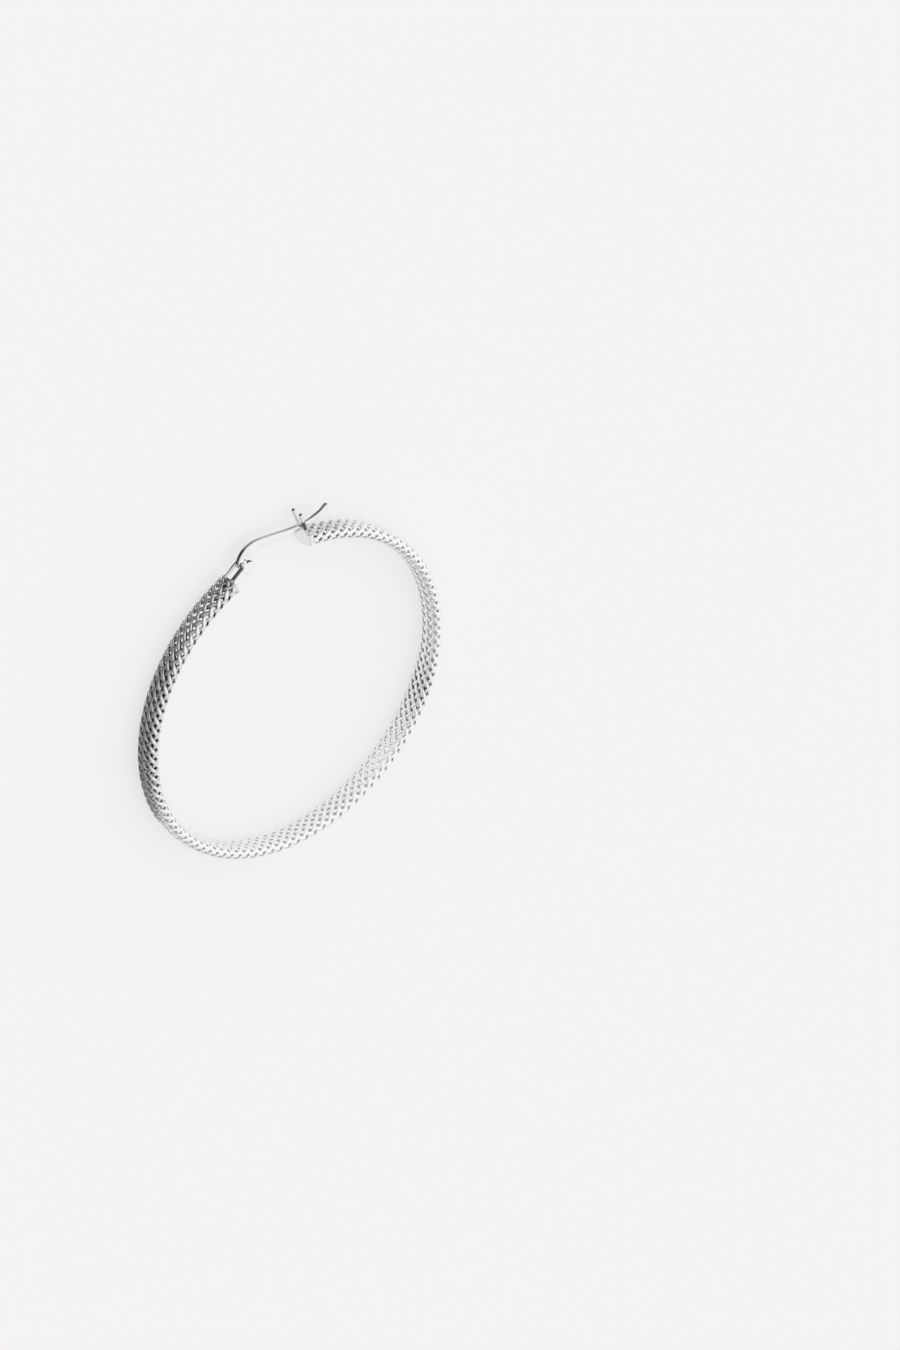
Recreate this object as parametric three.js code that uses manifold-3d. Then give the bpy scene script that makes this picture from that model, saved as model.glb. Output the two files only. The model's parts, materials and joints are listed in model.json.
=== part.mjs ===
// A hinged hoop earring: a flattened tube of knitted silver wire bent to a ring, closed at both ends by
// a small cap, with a flat ear wire that turns on a staple and snaps into a forked catch.
// Millimetres, +Z up. The hoop lies on its side: its axis is +Z and its lower rim is on z = 0.
import * as THREE from 'three';
import { mergeVertices } from 'three/addons/utils/BufferGeometryUtils.js';
import Module from 'manifold-3d';

const wasm = await Module();
wasm.setup();

// The hoop: angles are in degrees round its axis, from +X towards +Y, where the ear wire is
const hoopOuterRadius = 25;
const tubeWidth = 3.74; // along the hoop's axis
const tubeThickness = 2; // along the hoop's radius
const knitWall = 0.5; // two wires of the knitted mesh, one over the other
const hingeFaceAngle = 104.7; // outer face of the cap that carries the hinge
const catchFaceAngle = 75.8; // outer face of the cap that carries the catch
const sectionPower = 2.6; // 2 would be an ellipse, more is squarer

// The end caps: a plate over the tube's end and a plug inside it
const capPlate = 0.35;
const plugLength = 1.3;
const seatGap = 0.12; // between a cap and the knitted tube, all round
const plugTaper = 0.85; // size of the plug's inner end as a share of its size at the plate

// The staple: a U of round wire whose crossbar is the hinge pin
const stapleWire = 0.48;
const pivotReach = 2.37; // from the cap's face to the pin's centre
const pivotRise = 1.4; // from the middle of the tube outwards to the pin's centre
const stapleFootRise = 0.86; // from the middle of the tube outwards to the staple's feet
const stapleBend = 0.3;

// The ear wire: a flat strip in the hoop's own plane
const stripThickness = 0.62;
const edgeRounding = 0.1;
const hingeClearance = 0.1; // between the pin and the eye, and between the strip and the staple's legs
const eyeWall = 0.3;
const bridgeRise = 2.25; // from the pin's centre to the top of the bridge
const bridgeHeight = 1.3; // height of the flat face over the ear lobe
const postOverhang = 4.2; // from the catch to the middle of the round tip
const postHeight = 0.76;
const heelRadius = 0.9; // the rounded thumb piece that stands into the hoop
const heelLength = 0.17; // between the middles of its two round ends
const heelSide = 1.1; // from the pin's centre towards the catch
const heelDrop = 1.2; // from the pin's centre down to the upper round end
const notchRadius = 0.4; // between the bridge and the heel
const notchSide = 0.93; // from the pin's centre towards the catch
const notchLift = 0.52; // from the pin's centre outwards
const neckAngle = 150; // degrees, where the shoulder leaves the eye
const heelStart = 110; // degrees, where the heel's top leaves the notch

// The catch: a two-pronged fork of round wire on the cap's outer edge
const catchRise = 1.9; // from the middle of the tube outwards to the middle of the strip
const catchClearance = 0.12; // between the strip and each prong, and between the strip and the slot's floor
const forkWire = 0.5;
const forkBend = 0.34;
const prongLength = 2.65; // from the middle of the strip to the tips
const prongFlare = 0.08; // how far each tip spreads
const forkLean = 22.5; // degrees from the hoop's radius towards the gap
const forkSetback = 0.11; // from the cap's face back to the middle of the fork's foot

// How finely the round shapes are faceted
const hoopSteps = 72;
const tubeSides = 20;
const boreSides = 12;
const wireSides = 8;
const bendSteps = 4;
const arcSteps = 7;
const bridgeSteps = 4;
const leastSpacing = 0.03; // between two points of an outline
const mergeTolerance = 1e-5;

// The bridge, from the hinge to the post: along is a share of the way from the pin to the catch, rise is
// the top edge as a share of bridgeRise, and height is the face as a share of the way from postHeight
// to bridgeHeight
const bridgeStations = [
  { along: 0.16, rise: 0.97, height: 1 },
  { along: 0.24, rise: 1, height: 1 },
  { along: 0.35, rise: 0.92, height: 1 },
  { along: 0.53, rise: 0.7, height: 0.85 },
  { along: 0.67, rise: 0.5, height: 0.6 },
  { along: 0.87, rise: 0.25, height: 0.15 },
  { along: 1, rise: 0.165, height: 0 },
];

// The post beyond the catch: along is a share of postOverhang, and rise is the top edge as a share of
// bridgeRise
const postStations = [
  { along: 0.27, rise: 0.145 },
  { along: 0.5, rise: 0.165 },
  { along: 0.75, rise: 0.245 },
];
const postTipRise = 0.27; // middle of the round tip, as a share of bridgeRise
const postTipSlope = 20; // degrees

// The curve of the shoulder from the eye to the bridge: how far its two handles reach, as shares of
// bridgeRise
const eyeHandle = { along: 0.1, rise: 0.36 };
const bridgeHandle = { along: -0.46, rise: -0.04 };

const tubeMidRadius = hoopOuterRadius - tubeThickness / 2;
const forkFootRise = catchRise - postHeight / 2 - catchClearance - forkWire / 2;
const silver = { color: 0xdcdcda, metalness: 1, roughness: 0.28 };
const knittedSilver = { color: 0xc9c9c7, metalness: 1, roughness: 0.4 };

// One closed outline of a flattened tube, with a flat facet on each of its four sides
function tubeOutline(halfThickness, halfWidth, sides) {
  const flat = (share) => Math.sign(share) * Math.abs(share) ** (2 / sectionPower);
  const widest = flat(Math.cos(Math.PI / sides));
  const points = [];
  for (let i = 0; i < sides; i += 1) {
    const angle = ((i + 0.5) / sides) * 2 * Math.PI;
    const across = (halfThickness * flat(Math.cos(angle))) / widest;
    const along = (halfWidth * flat(Math.sin(angle))) / widest;
    points.push(new THREE.Vector2(across, along));
  }
  return points;
}

// A circle's arc round the hoop's axis, for the tube to follow
class HoopArc extends THREE.Curve {
  constructor(radius, startAngle, endAngle) {
    super();
    this.radius = radius;
    this.startAngle = startAngle;
    this.endAngle = endAngle;
  }

  getPoint(share, target = new THREE.Vector3()) {
    const angle = this.startAngle + (this.endAngle - this.startAngle) * share;
    return target.set(this.radius * Math.cos(angle), this.radius * Math.sin(angle), 0);
  }
}

// The place of a cap's outer face: local X is outwards along the hoop's radius, local Y is along its axis
// and local Z points out of the tube's end into the gap
function endFrame(faceAngle, towardsGap) {
  const angle = THREE.MathUtils.degToRad(faceAngle);
  const radial = new THREE.Vector3(Math.cos(angle), Math.sin(angle), 0);
  const outward = new THREE.Vector3(-radial.y, radial.x, 0).multiplyScalar(towardsGap);
  const axial = new THREE.Vector3().crossVectors(outward, radial);
  const frame = new THREE.Matrix4().makeBasis(radial, axial, outward);
  return frame.setPosition(radial.clone().multiplyScalar(tubeMidRadius));
}

// A closed mesh as a solid that can be joined and cut
function toSolid(geometry) {
  const plain = geometry.clone();
  plain.deleteAttribute('normal');
  plain.deleteAttribute('uv');
  const merged = mergeVertices(plain, mergeTolerance);
  const vertProperties = new Float32Array(merged.attributes.position.array);
  const triVerts = new Uint32Array(merged.index.array);
  return new wasm.Manifold(new wasm.Mesh({ numProp: 3, vertProperties, triVerts }));
}

// The triangles of a solid
function toGeometry(solid) {
  const mesh = solid.getMesh();
  const geometry = new THREE.BufferGeometry();
  geometry.setAttribute('position', new THREE.BufferAttribute(new Float32Array(mesh.vertProperties), 3));
  geometry.setIndex(new THREE.BufferAttribute(new Uint32Array(mesh.triVerts), 1));
  geometry.computeVertexNormals();
  return geometry;
}

// Several closed meshes as one
function joined(geometries) {
  return toGeometry(geometries.map(toSolid).reduce((whole, solid) => whole.add(solid)));
}

function namedMesh(name, geometry, look) {
  const mesh = new THREE.Mesh(geometry, new THREE.MeshStandardMaterial(look));
  mesh.name = name;
  return mesh;
}

// The knitted tube: a hollow flattened section carried round the hoop from one cap's plate to the other's
function knittedTube() {
  const setback = (capPlate + seatGap) / tubeMidRadius;
  const start = THREE.MathUtils.degToRad(hingeFaceAngle) + setback;
  const end = THREE.MathUtils.degToRad(catchFaceAngle) + 2 * Math.PI - setback;
  // An extruded shape's X runs along the hoop's axis here and its Y along the radius
  const turned = (points) => points.map((point) => new THREE.Vector2(point.y, point.x)).reverse();
  const section = new THREE.Shape(turned(tubeOutline(tubeThickness / 2, tubeWidth / 2, tubeSides)));
  const boreThickness = tubeThickness / 2 - knitWall;
  const boreWidth = tubeWidth / 2 - knitWall;
  section.holes.push(new THREE.Path(turned(tubeOutline(boreThickness, boreWidth, boreSides))));
  return new THREE.ExtrudeGeometry(section, {
    steps: hoopSteps,
    extrudePath: new HoopArc(tubeMidRadius, start, end),
  });
}

// A cap's plate and the plug that reaches from it into the tube, in the frame of the cap's face
function capBody() {
  const plateShape = new THREE.Shape(tubeOutline(tubeThickness / 2, tubeWidth / 2, tubeSides));
  const plate = new THREE.ExtrudeGeometry(plateShape, { depth: capPlate, bevelEnabled: false });
  plate.translate(0, 0, -capPlate);
  const plugThickness = tubeThickness / 2 - knitWall - seatGap;
  const plugWidth = tubeWidth / 2 - knitWall - seatGap;
  const plugShape = new THREE.Shape(tubeOutline(plugThickness, plugWidth, boreSides));
  const depth = plugLength + capPlate / 2;
  const plug = new THREE.ExtrudeGeometry(plugShape, { depth, bevelEnabled: false });
  const position = plug.attributes.position;
  for (let i = 0; i < position.count; i += 1) {
    const share = position.getZ(i) > 0 ? 1 : plugTaper;
    position.setXY(i, position.getX(i) * share, position.getY(i) * share);
  }
  plug.translate(0, 0, -capPlate - plugLength);
  return [plate, plug];
}

// Round wire along a path, with flat ends
function roundWire(path, diameter, steps) {
  const circle = new THREE.Shape();
  for (let i = 0; i < wireSides; i += 1) {
    const angle = (i / wireSides) * 2 * Math.PI;
    const point = [(diameter / 2) * Math.cos(angle), (diameter / 2) * Math.sin(angle)];
    if (i === 0) circle.moveTo(...point);
    else circle.lineTo(...point);
  }
  return new THREE.ExtrudeGeometry(circle, { steps, extrudePath: path });
}

// A U of wire as a chain of points: a leg, a bend, the crossbar, a bend and the other leg
class WirePath extends THREE.Curve {
  constructor(points) {
    super();
    this.points = points;
  }

  getPoint(share, target = new THREE.Vector3()) {
    const last = this.points.length - 1;
    const index = Math.min(Math.round(share * last), last);
    return target.copy(this.points[index]);
  }

  getPointAt(share, target) {
    return this.getPoint(share, target);
  }

  getTangentAt(share, target = new THREE.Vector3()) {
    const last = this.points.length - 1;
    const index = Math.round(share * last);
    const before = this.points[Math.max(index - 1, 0)];
    const after = this.points[Math.min(index + 1, last)];
    return target.subVectors(after, before).normalize();
  }
}

// A U of round wire in the frame of a cap's face: its legs start spread apart and run to a crossbar
function wireU(legStart, startOffset, crossbar, legOffset, bend, diameter) {
  const direction = crossbar.clone().sub(legStart).normalize();
  const half = [legStart.clone().setY(-startOffset)];
  for (let i = 0; i <= bendSteps; i += 1) {
    const turn = (i / bendSteps) * (Math.PI / 2);
    const point = crossbar.clone().addScaledVector(direction, bend * (Math.sin(turn) - 1));
    half.push(point.setY(-legOffset + bend * (1 - Math.cos(turn))));
  }
  const otherHalf = half.map((point) => point.clone().setY(-point.y)).reverse();
  const points = [...half, ...otherHalf];
  return roundWire(new WirePath(points), diameter, points.length - 1);
}

// The staple, with its feet in the middle of the cap's plate
function staple() {
  const foot = new THREE.Vector3(stapleFootRise, 0, -capPlate / 2);
  const pin = new THREE.Vector3(pivotRise, 0, pivotReach);
  const legOffset = stripThickness / 2 + hingeClearance + stapleWire / 2;
  return wireU(foot, legOffset, pin, legOffset, stapleBend, stapleWire);
}

// The place of the fork's middle, as far out from the middle of the tube as rise says
function forkPlace(rise) {
  const lean = THREE.MathUtils.degToRad(forkLean);
  return new THREE.Vector3(rise, 0, (rise - forkFootRise) * Math.tan(lean) - forkSetback);
}

// The fork, with its crossbar across the cap's outer edge
function fork() {
  const lean = THREE.MathUtils.degToRad(forkLean);
  const legOffset = stripThickness / 2 + catchClearance + forkWire / 2;
  const tip = forkPlace(catchRise + prongLength * Math.cos(lean));
  return wireU(tip, legOffset + prongFlare, forkPlace(forkFootRise), legOffset, forkBend, forkWire);
}

// The angle at which the straight flank from one round to the next leaves both of them
function flankAngle(from, fromRadius, to, toRadius) {
  const span = to.clone().sub(from);
  return span.angle() + Math.acos((fromRadius - toRadius) / span.length());
}

// The points of a closed outline without those that nearly fall together
function spacedOut(points) {
  const kept = [];
  for (const point of points) {
    if (kept.every((other) => other.distanceTo(point) > leastSpacing)) kept.push(point);
  }
  return kept;
}

// The ear wire's outline, with the pin at its origin and the catch on +X
function earWireOutline(span) {
  const eyeRadius = stapleWire / 2 + hingeClearance + eyeWall;
  const eye = new THREE.Vector2(0, 0);
  const heelTop = new THREE.Vector2(heelSide, -heelDrop);
  const heelBottom = new THREE.Vector2(heelSide, -heelDrop - heelLength);
  const top = bridgeStations.map((row) => new THREE.Vector2(row.along * span, row.rise * bridgeRise));
  const under = bridgeStations.map((row) => {
    const height = postHeight + (bridgeHeight - postHeight) * row.height;
    return new THREE.Vector2(row.along * span, row.rise * bridgeRise - height);
  });
  const tipCentre = new THREE.Vector2(span + postOverhang, postTipRise * bridgeRise);
  const slope = THREE.MathUtils.degToRad(postTipSlope);
  for (const row of postStations) {
    const place = new THREE.Vector2(span + row.along * postOverhang, row.rise * bridgeRise);
    top.push(place);
    under.push(place.clone().setY(place.y - postHeight));
  }
  const tipSide = new THREE.Vector2(0, postHeight / 2).rotateAround(new THREE.Vector2(), slope);
  top.push(tipCentre.clone().add(tipSide));
  const shoulderEnd = top.shift();
  const neckTurn = THREE.MathUtils.degToRad(neckAngle);
  const neck = new THREE.Vector2(eyeRadius * Math.cos(neckTurn), eyeRadius * Math.sin(neckTurn));
  const outline = new THREE.Shape();
  outline.moveTo(neck.x, neck.y);
  outline.bezierCurveTo(
    neck.x + eyeHandle.along * bridgeRise, neck.y + eyeHandle.rise * bridgeRise,
    shoulderEnd.x + bridgeHandle.along * bridgeRise, shoulderEnd.y + bridgeHandle.rise * bridgeRise,
    shoulderEnd.x, shoulderEnd.y,
  );
  outline.splineThru([...top]);
  outline.absarc(tipCentre.x, tipCentre.y, postHeight / 2, slope + Math.PI / 2, slope - Math.PI / 2, true);
  outline.splineThru([...under].reverse());
  const notch = new THREE.Vector2(notchSide, notchLift);
  outline.absarc(notch.x, notch.y, notchRadius, Math.PI / 2, 1.5 * Math.PI);
  outline.absarc(heelTop.x, heelTop.y, heelRadius, THREE.MathUtils.degToRad(heelStart), 0, true);
  const flank = flankAngle(heelBottom, heelRadius, eye, eyeRadius);
  outline.absarc(heelBottom.x, heelBottom.y, heelRadius, 0, flank - 2 * Math.PI, true);
  outline.absarc(eye.x, eye.y, eyeRadius, flank, neckTurn, true);
  const hole = new THREE.Path();
  hole.absarc(0, 0, stapleWire / 2 + hingeClearance, 0, 2 * Math.PI);
  const shape = new THREE.Shape(spacedOut(outline.getPoints(bridgeSteps)));
  shape.holes.push(new THREE.Path(spacedOut(hole.getPoints(arcSteps))));
  return shape;
}

// The ear wire, laid from the pin's centre to the catch
function earWire(pivot, catchPoint) {
  const line = catchPoint.clone().sub(pivot);
  const geometry = new THREE.ExtrudeGeometry(earWireOutline(line.length()), {
    depth: stripThickness - 2 * edgeRounding,
    bevelThickness: edgeRounding,
    bevelSize: edgeRounding,
    bevelOffset: -edgeRounding,
    bevelSegments: 2,
    curveSegments: bridgeSteps,
  });
  geometry.translate(0, 0, edgeRounding - stripThickness / 2);
  geometry.rotateZ(Math.atan2(line.y, line.x));
  geometry.translate(pivot.x, pivot.y, 0);
  return geometry;
}

const hingeFrame = endFrame(hingeFaceAngle, -1);
const catchFrame = endFrame(catchFaceAngle, 1);
const pivot = new THREE.Vector3(pivotRise, 0, pivotReach).applyMatrix4(hingeFrame);
const catchPoint = forkPlace(catchRise).applyMatrix4(catchFrame);

const hoop = new THREE.Group();
hoop.add(namedMesh('hoop_tube', knittedTube(), knittedSilver));
hoop.add(namedMesh('hinge_cap', joined([...capBody(), staple()]).applyMatrix4(hingeFrame), silver));
hoop.add(namedMesh('catch_cap', joined([...capBody(), fork()]).applyMatrix4(catchFrame), silver));
hoop.add(namedMesh('ear_wire', toGeometry(toSolid(earWire(pivot, catchPoint))), silver));

// The origin is under the middle of the whole outline, on the surface that the hoop lies on
const outlineBox = new THREE.Box3().setFromObject(hoop);
hoop.position.set(0, -(outlineBox.min.y + outlineBox.max.y) / 2, tubeWidth / 2);

const earring = new THREE.Group();
earring.add(hoop);

export default earring;
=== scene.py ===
"""A hinged hoop earring of flattened silver mesh, finished round its packed construction model."""

import json
import logging
import math
from collections.abc import Callable, Iterator, Sequence
from contextlib import contextmanager
from dataclasses import dataclass, field
from enum import Enum

import bmesh
import bpy
import numpy as np
from mathutils import Matrix, Vector


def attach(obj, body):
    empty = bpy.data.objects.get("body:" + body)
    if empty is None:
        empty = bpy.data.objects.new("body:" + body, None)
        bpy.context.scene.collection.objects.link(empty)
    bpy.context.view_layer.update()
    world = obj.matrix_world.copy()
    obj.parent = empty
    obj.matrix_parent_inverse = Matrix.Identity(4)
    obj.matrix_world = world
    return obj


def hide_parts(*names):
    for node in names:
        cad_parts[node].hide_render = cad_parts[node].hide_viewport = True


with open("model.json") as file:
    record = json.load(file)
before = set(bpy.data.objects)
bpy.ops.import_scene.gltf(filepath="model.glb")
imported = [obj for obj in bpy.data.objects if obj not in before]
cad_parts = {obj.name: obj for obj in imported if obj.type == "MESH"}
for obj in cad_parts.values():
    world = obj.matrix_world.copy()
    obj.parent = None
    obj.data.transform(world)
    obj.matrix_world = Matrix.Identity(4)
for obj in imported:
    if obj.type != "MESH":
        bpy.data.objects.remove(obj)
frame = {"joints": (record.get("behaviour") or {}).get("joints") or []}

LOG = logging.getLogger("earring")
MM = 0.001


class Body(Enum):
    """The bodies that pieces ride on."""

    HOOP = "hoop"
    EAR_WIRE = "ear_wire"


class Slot(Enum):
    """The record's material slots."""

    KNITTED = "knitted_silver"
    POLISHED = "polished_silver"
    EAR_WIRE = "ear_wire_silver"


class End(Enum):
    """The two ends of the tube, each with the sign of its way into the gap."""

    HINGE = -1
    CATCH = 1


class Bench:
    """The modelling operators, each started with a clean selection."""

    @staticmethod
    def take(piece: bpy.types.Object) -> None:
        """Selects one object alone and makes it active."""
        bpy.ops.object.select_all(action="DESELECT")
        piece.select_set(True)
        bpy.context.view_layer.objects.active = piece

    @staticmethod
    @contextmanager
    def shaping(piece: bpy.types.Object) -> Iterator[None]:
        """Edit mode on one object, with all of its mesh selected.

        Args:
            piece: The object to shape.
        """
        Bench.take(piece)
        bpy.ops.object.mode_set(mode="EDIT")
        bpy.ops.mesh.select_mode(type="VERT")
        bpy.ops.mesh.select_all(action="SELECT")
        yield
        bpy.ops.object.mode_set(mode="OBJECT")

    @staticmethod
    def ring(name: str, sides: int, size: tuple[float, float], place: Vector, heading: Vector,
             across: Vector) -> bpy.types.Object:
        """Adds an open oval ring of vertices.

        Args:
            name: The object's name.
            sides: How many vertices the ring has.
            size: Its diameter along across, and its diameter square to it.
            place: Its middle.
            heading: The direction that it faces.
            across: A direction in its plane.

        Returns:
            The object, with its place in its mesh.
        """
        bpy.ops.object.select_all(action="DESELECT")
        bpy.ops.mesh.primitive_circle_add(vertices=sides, radius=0.5)
        ring = bpy.context.object
        ring.name = name
        facing = heading.normalized()
        first = (across - facing * across.dot(facing)).normalized()
        turn = Matrix((first, facing.cross(first), facing)).transposed().to_4x4()
        ring.matrix_world = Matrix.Translation(place) @ turn @ Matrix.Diagonal((*size, 1.0, 1.0))
        bpy.ops.object.transform_apply(location=True, rotation=True, scale=True)
        return ring

    @staticmethod
    def extrude(step: Vector) -> None:
        """Draws the selected loop out by a step."""
        bpy.ops.mesh.extrude_region_move(TRANSFORM_OT_translate={"value": step})

    @staticmethod
    def swell(factor: float, centre: Vector) -> None:
        """Scales the selected loop about a centre."""
        bpy.ops.transform.resize(value=(factor, factor, factor), center_override=centre)

    @staticmethod
    def pick(piece: bpy.types.Object, wanted: Callable[[bmesh.types.BMFace], bool]) -> None:
        """Selects faces in edit mode.

        Args:
            piece: The object in edit mode.
            wanted: Says of a face whether it is to be selected.
        """
        bpy.ops.mesh.select_mode(type="FACE")
        bpy.ops.mesh.select_all(action="DESELECT")
        shape = bmesh.from_edit_mesh(piece.data)
        for face in shape.faces:
            face.select_set(wanted(face))
        bmesh.update_edit_mesh(piece.data)

    @staticmethod
    def modify(piece: bpy.types.Object, kind: str, **settings: object) -> None:
        """Adds a modifier and applies it.

        Args:
            piece: The object to change.
            kind: The modifier's type.
            settings: Its properties.
        """
        Bench.take(piece)
        modifier = piece.modifiers.new(kind.lower(), kind)
        for name, value in settings.items():
            setattr(modifier, name, value)
        bpy.ops.object.modifier_apply(modifier=modifier.name)

    @staticmethod
    def join(pieces: Sequence[bpy.types.Object], name: str) -> bpy.types.Object:
        """Makes several objects one.

        Args:
            pieces: The objects.
            name: The name of the whole.

        Returns:
            The joined object.
        """
        Bench.take(pieces[0])
        for piece in pieces[1:]:
            piece.select_set(True)
        bpy.ops.object.join()
        pieces[0].name = name
        return pieces[0]

    @staticmethod
    def weld(piece: bpy.types.Object, other: bpy.types.Object) -> None:
        """Makes two closed objects one solid and removes the second."""
        Bench.modify(piece, "BOOLEAN", operation="UNION", object=other, solver="EXACT")
        bpy.data.objects.remove(other)

    @staticmethod
    def close(piece: bpy.types.Object, nearness: float = 0.001 * MM) -> None:
        """Merges doubles, closes the open ends and turns the faces outwards.

        Args:
            piece: The object to close.
            nearness: The distance under which two vertices are one.
        """
        with Bench.shaping(piece):
            bpy.ops.mesh.remove_doubles(threshold=nearness)
            bpy.ops.mesh.select_all(action="SELECT")
            bpy.ops.mesh.fill_holes(sides=0)
            bpy.ops.mesh.select_all(action="SELECT")
            bpy.ops.mesh.normals_make_consistent(inside=False)

    @staticmethod
    def smooth(piece: bpy.types.Object, degrees: float = 40) -> None:
        """Shades smooth across edges that are blunter than an angle."""
        Bench.take(piece)
        bpy.ops.object.shade_smooth_by_angle(angle=math.radians(degrees))

    @staticmethod
    def flat_faces(piece: bpy.types.Object) -> None:
        """Keeps the shading of large flat faces flat beside their rounded edges."""
        Bench.modify(piece, "WEIGHTED_NORMAL", keep_sharp=True, mode="FACE_AREA", weight=100)


@dataclass(frozen=True)
class FlatSection:
    """A flattened tube's section, a rounded oblong that grows from a circle's formula."""

    half_thickness: float
    half_width: float
    power: float = 2.6
    rim_calm: float = 0.0
    samples: int = 1440

    def outline(self, turns: np.ndarray) -> tuple[np.ndarray, np.ndarray]:
        """The outline at some angles.

        Args:
            turns: Angles in radians, from the outer face towards the upper rim.

        Returns:
            How far outwards and how far along the hoop's axis each point lies.
        """
        cosine, sine = np.cos(turns), np.sin(turns)
        outwards = self.half_thickness * np.sign(cosine) * np.abs(cosine) ** (2 / self.power)
        along = self.half_width * np.sign(sine) * np.abs(sine) ** (2 / self.power)
        return outwards, along

    def _measured(self) -> tuple[np.ndarray, np.ndarray, np.ndarray]:
        """The outline from the lower rim round, with the length of the way to each point."""
        turns = np.linspace(-math.pi / 2, 1.5 * math.pi, self.samples + 1)
        outwards, along = self.outline(turns)
        steps = np.hypot(np.diff(outwards), np.diff(along))
        return outwards, along, np.concatenate([[0], np.cumsum(steps)])

    @property
    def girth(self) -> float:
        """The length of the way round the section."""
        return float(self._measured()[2][-1])

    def lay(self, way: np.ndarray, height: np.ndarray) -> tuple[np.ndarray, np.ndarray]:
        """Lays points of a flat cloth round the section.

        Args:
            way: The way round the section to each point.
            height: How far each point stands out of the cloth.

        Returns:
            How far outwards and how far along the hoop's axis each point lies.
        """
        outwards, along, length = self._measured()
        way = np.mod(way, length[-1])
        facing = np.stack([np.gradient(along, length), -np.gradient(outwards, length)])
        facing[:, 0] = facing[:, -1] = (facing[:, 0] + facing[:, -1]) / 2
        facing /= np.linalg.norm(facing, axis=0)
        out, up = (np.interp(way, length, row) for row in facing)
        scale = height * (1 - self.rim_calm * up**2) / np.hypot(out, up)
        return np.interp(way, length, outwards) + out * scale, np.interp(way, length, along) + up * scale


@dataclass(frozen=True)
class HoopPlan:
    """The hoop's own sizes and places, which every piece follows."""

    mid_radius: float = 24 * MM
    half_thickness: float = 1 * MM
    half_width: float = 1.87 * MM
    hinge_face: float = math.radians(104.7)
    catch_face: float = math.radians(75.8)
    cap_plate: float = 0.35 * MM
    pin_rise: float = 1.4 * MM
    pin_reach: float = 2.37 * MM
    pin: Vector = field(default_factory=lambda: Vector(frame["joints"][0]["pos_m"]))

    @property
    def centre(self) -> Vector:
        """The hoop's middle, worked out from the hinge pin."""
        reach = Vector((self.pin_rise, 0, self.pin_reach))
        return self.pin - self.end_turn(End.HINGE) @ reach - self._radial(End.HINGE) * self.mid_radius

    def _angle(self, end: End) -> float:
        """The angle of a cap's outer face round the hoop's axis."""
        return self.hinge_face if end is End.HINGE else self.catch_face

    def _radial(self, end: End) -> Vector:
        """The direction outwards at a cap's outer face."""
        return Vector((math.cos(self._angle(end)), math.sin(self._angle(end)), 0))

    def end_turn(self, end: End) -> Matrix:
        """The turn of a cap: its X is outwards, its Y along the hoop's axis and its Z into the gap."""
        radial = self._radial(end)
        into_gap = Vector((-radial.y, radial.x, 0)) * end.value
        return Matrix((radial, into_gap.cross(radial), into_gap)).transposed()

    def end_place(self, end: End) -> Matrix:
        """The place of a cap's outer face.

        Args:
            end: The end of the tube.

        Returns:
            The matrix from the cap's own axes to the frame's.
        """
        middle = self.centre + self._radial(end) * self.mid_radius
        return Matrix.Translation(middle) @ self.end_turn(end).to_4x4()


class Wire:
    """Round wire that is drawn forward and bent, ring after ring."""

    def __init__(self, name: str, diameter: float, place: Vector, heading: Vector, sides: int = 16) -> None:
        """Starts the wire with one open ring.

        Args:
            name: The object's name.
            diameter: The wire's thickness.
            place: The middle of the first ring.
            heading: The direction that the wire runs in.
            sides: How many sides the wire has.
        """
        self.diameter = diameter
        self.place = place.copy()
        self.heading = heading.normalized()
        across = self.heading.orthogonal()
        self.piece = Bench.ring(name, sides, (diameter, diameter), place, self.heading, across)
        Bench.take(self.piece)
        bpy.ops.object.mode_set(mode="EDIT")
        bpy.ops.mesh.select_mode(type="VERT")
        bpy.ops.mesh.select_all(action="SELECT")

    def forward(self, length: float, swelling: float = 1) -> "Wire":
        """Draws the wire straight on.

        Args:
            length: How far it is drawn.
            swelling: The new ring's size as a share of the last one's.

        Returns:
            The wire itself.
        """
        step = self.heading * length
        self.place += step
        Bench.extrude(step)
        if swelling != 1:
            Bench.swell(swelling, self.place)
        return self

    def bend(self, angle: float, radius: float, towards: Vector, steps: int = 8) -> "Wire":
        """Bends the wire.

        Args:
            angle: How far it turns, in radians.
            radius: The bend's radius to the wire's middle.
            towards: The direction that it turns to.
            steps: How many rings the bend has.

        Returns:
            The wire itself.
        """
        side = (towards - self.heading * towards.dot(self.heading)).normalized()
        axis = self.heading.cross(side)
        centre = self.place + side * radius
        bpy.ops.mesh.spin(steps=steps, angle=-angle, center=centre, axis=axis, dupli=False)
        turn = Matrix.Rotation(angle, 3, axis)
        self.place = centre + turn @ (self.place - centre)
        self.heading = turn @ self.heading
        return self

    def dome(self, opening: bool, steps: int = 4) -> "Wire":
        """Rounds the wire's end.

        Args:
            opening: True at the wire's start, false at its finish.
            steps: How many rings the dome has.

        Returns:
            The wire itself.
        """
        radius = self.diameter / 2
        lifts = [math.radians(90 * k / steps) for k in range(steps)]
        sizes = [math.cos(lift) for lift in lifts]
        depths = [radius * math.sin(lift) for lift in lifts]
        if opening:
            sizes.reverse()
            depths.reverse()
            Bench.swell(sizes[0], self.place)
        for k in range(1, steps):
            self.forward(abs(depths[k] - depths[k - 1]), sizes[k] / sizes[k - 1])
        return self

    def finish(self) -> bpy.types.Object:
        """Closes the wire and leaves edit mode."""
        bpy.ops.object.mode_set(mode="OBJECT")
        Bench.close(self.piece)
        return self.piece


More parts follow.
